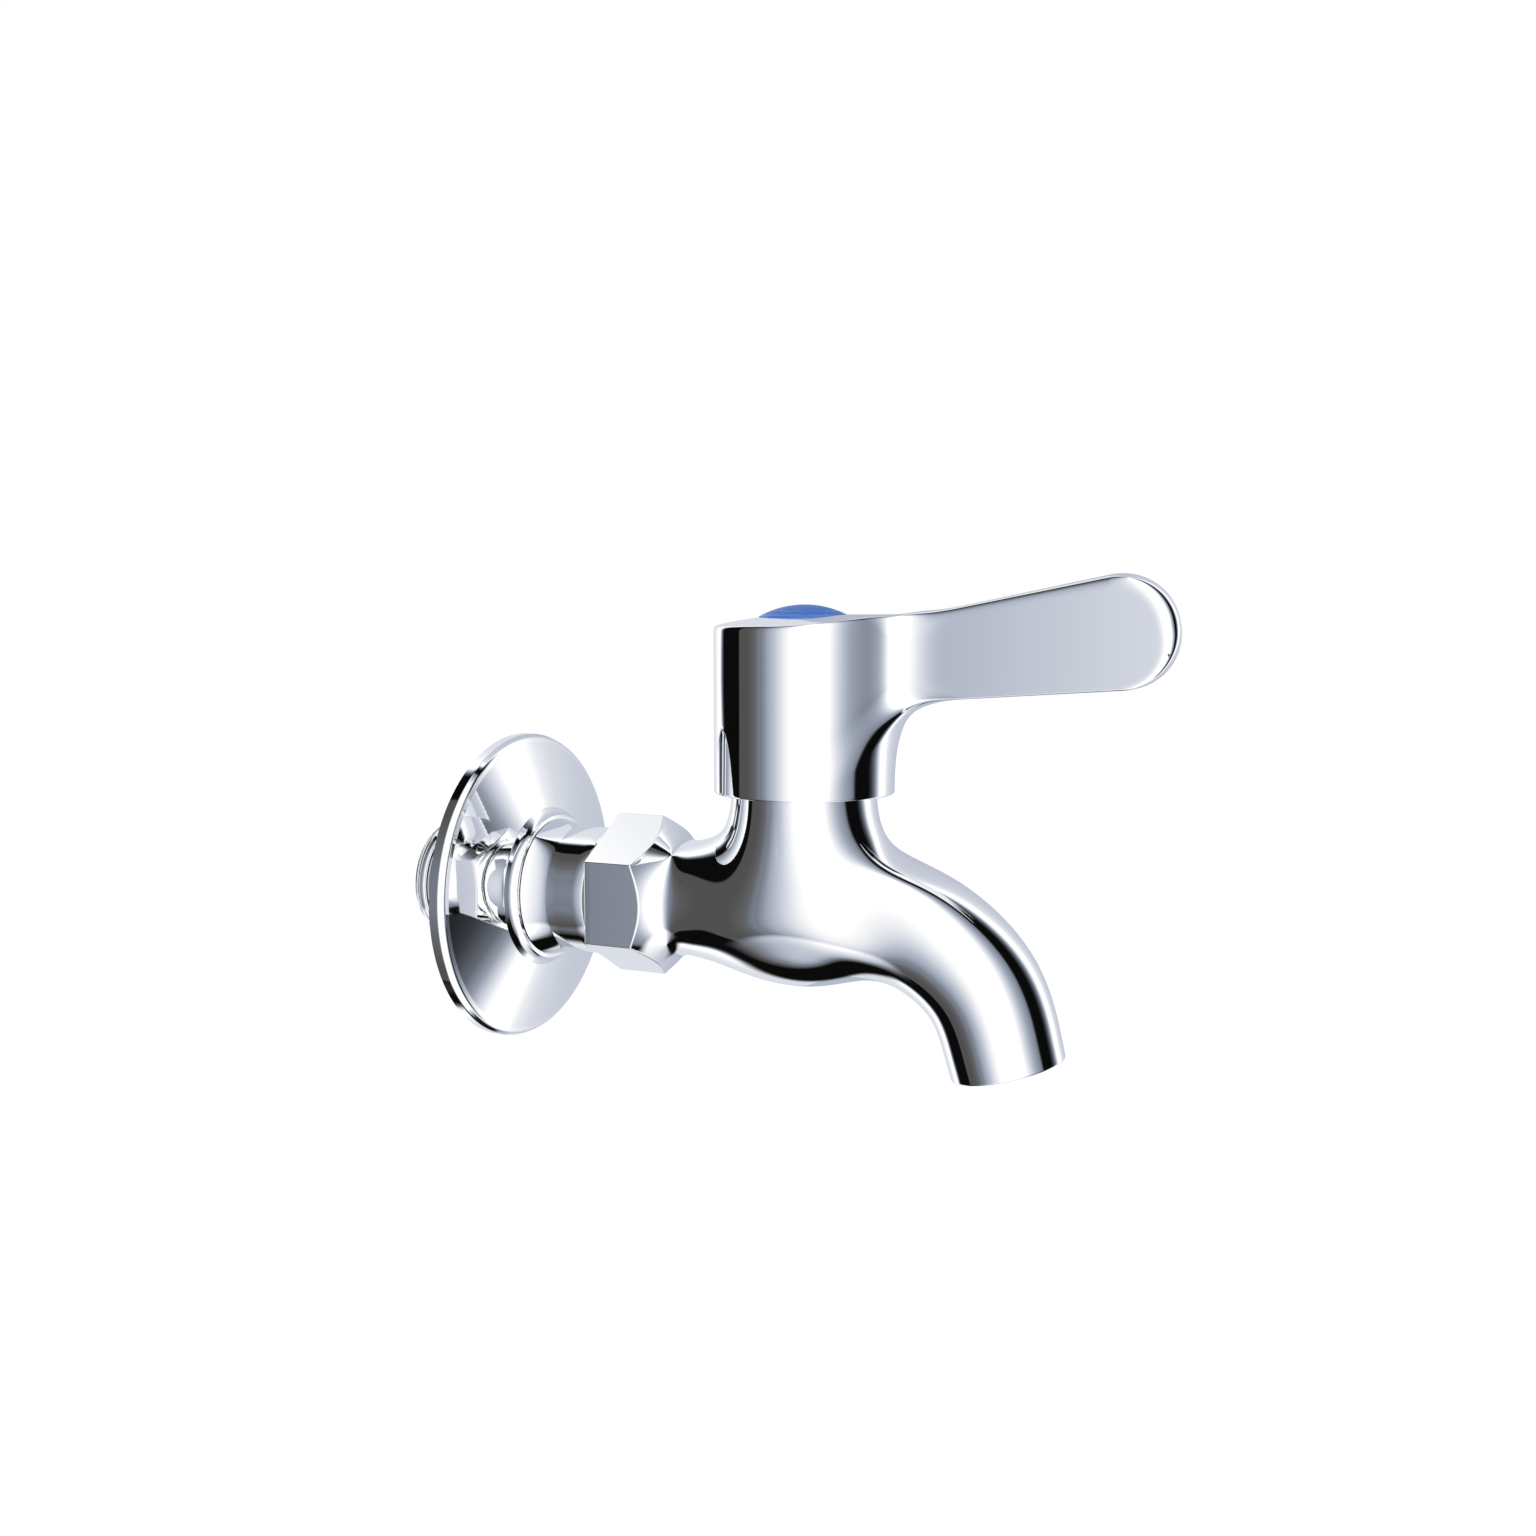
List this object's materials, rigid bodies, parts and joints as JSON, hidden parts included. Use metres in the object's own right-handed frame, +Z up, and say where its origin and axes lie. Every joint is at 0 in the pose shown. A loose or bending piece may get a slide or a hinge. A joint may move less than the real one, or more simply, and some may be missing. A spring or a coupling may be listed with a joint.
{
  "type": "hose bib",
  "caption": "Wall-mounted quarter-turn tap: threaded inlet shank with a sliding round flange, hexagon, curved spout, ceramic cartridge and a flat lever handle with an index button.",
  "frame": {"origin": "on the inlet axis, in the plane of the flange's back rim, which is the wall surface", "axes": "+X out of the wall along the inlet axis, +Z up along the valve axis, +Y to the right of a person facing the wall"},
  "size_m": [0.1252, 0.0516, 0.0775],
  "materials": {
    "chrome_body": "polished chrome plate on cast brass",
    "chrome_shank": "polished chrome plate on turned brass",
    "chrome_flange": "polished chrome plate on pressed metal",
    "chrome_handle": "polished chrome plate on die-cast zinc",
    "raw_brass": "machined brass",
    "ceramic": "lapped alumina ceramic",
    "steel": "stainless steel",
    "rubber_seals": "moulded black rubber",
    "white_plastic": "moulded acetal",
    "blue_index": "smooth blue plastic"
  },
  "bodies": {
    "tap": {"tap_body": "chrome_body", "inlet_shank": "chrome_shank", "shank_seal": "rubber_seals", "stream_straightener": "white_plastic", "cartridge_housing": "raw_brass", "housing_gasket": "rubber_seals", "seat_seal": "rubber_seals", "fixed_ceramic_disc": "ceramic"},
    "lever": {"lever_handle": "chrome_handle", "spline_bush": "white_plastic", "handle_screw": "steel", "screw_washer": "steel", "index_button": "blue_index", "spindle": "raw_brass", "spindle_circlip": "steel", "spindle_o_ring_lower": "rubber_seals", "spindle_o_ring_upper": "rubber_seals", "thrust_washer": "white_plastic", "moving_ceramic_disc": "ceramic"},
    "grip_ring": {"flange_grip_ring": "rubber_seals"},
    "flange": {"wall_flange": "chrome_flange"}
  },
  "joints": [
    {"name": "lever_turn", "type": "hinge", "parent": "tap", "child": "lever", "pos_m": [0.05294, 0, 0.03], "axis": [0, 0, 1], "range_deg": [0, 90]},
    {"name": "flange_slide", "type": "slide", "parent": "tap", "child": "grip_ring", "axis": [-1, 0, 0], "range_m": [0, 0.012]},
    {"name": "flange_turn", "type": "hinge", "parent": "grip_ring", "child": "flange", "pos_m": [0.002, 0, 0], "axis": [1, 0, 0], "continuous": true}
  ]
}
